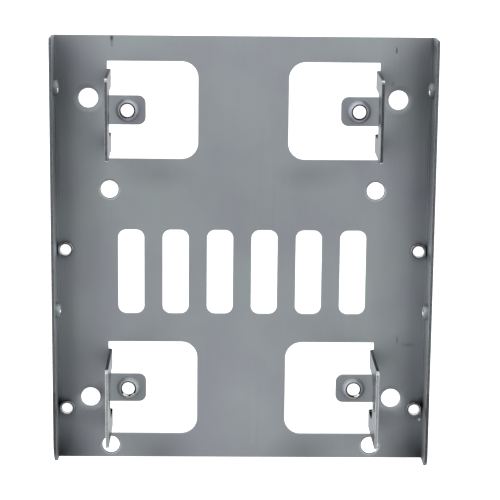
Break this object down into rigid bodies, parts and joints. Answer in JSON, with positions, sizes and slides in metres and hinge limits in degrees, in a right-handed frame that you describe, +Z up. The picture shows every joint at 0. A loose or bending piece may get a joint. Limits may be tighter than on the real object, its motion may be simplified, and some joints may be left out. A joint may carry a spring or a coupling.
{
  "type": "drive bay adapter bracket",
  "caption": "Folded sheet-steel tray with side flanges, upright drive walls and flat screw ears, which holds small drives in a larger drive bay.",
  "frame": {"origin": "centre of the base plate, on its flat underside", "axes": "+X across the tray from flange to flange, +Y along the bay, +Z up, the way the flanges and walls are folded"},
  "size_m": [0.1016, 0.1164, 0.0222],
  "materials": {
    "galvanised_sheet": "satin zinc-coated steel sheet"
  },
  "bodies": {
    "root": {"adapter_bracket": "galvanised_sheet"}
  },
  "joints": []
}
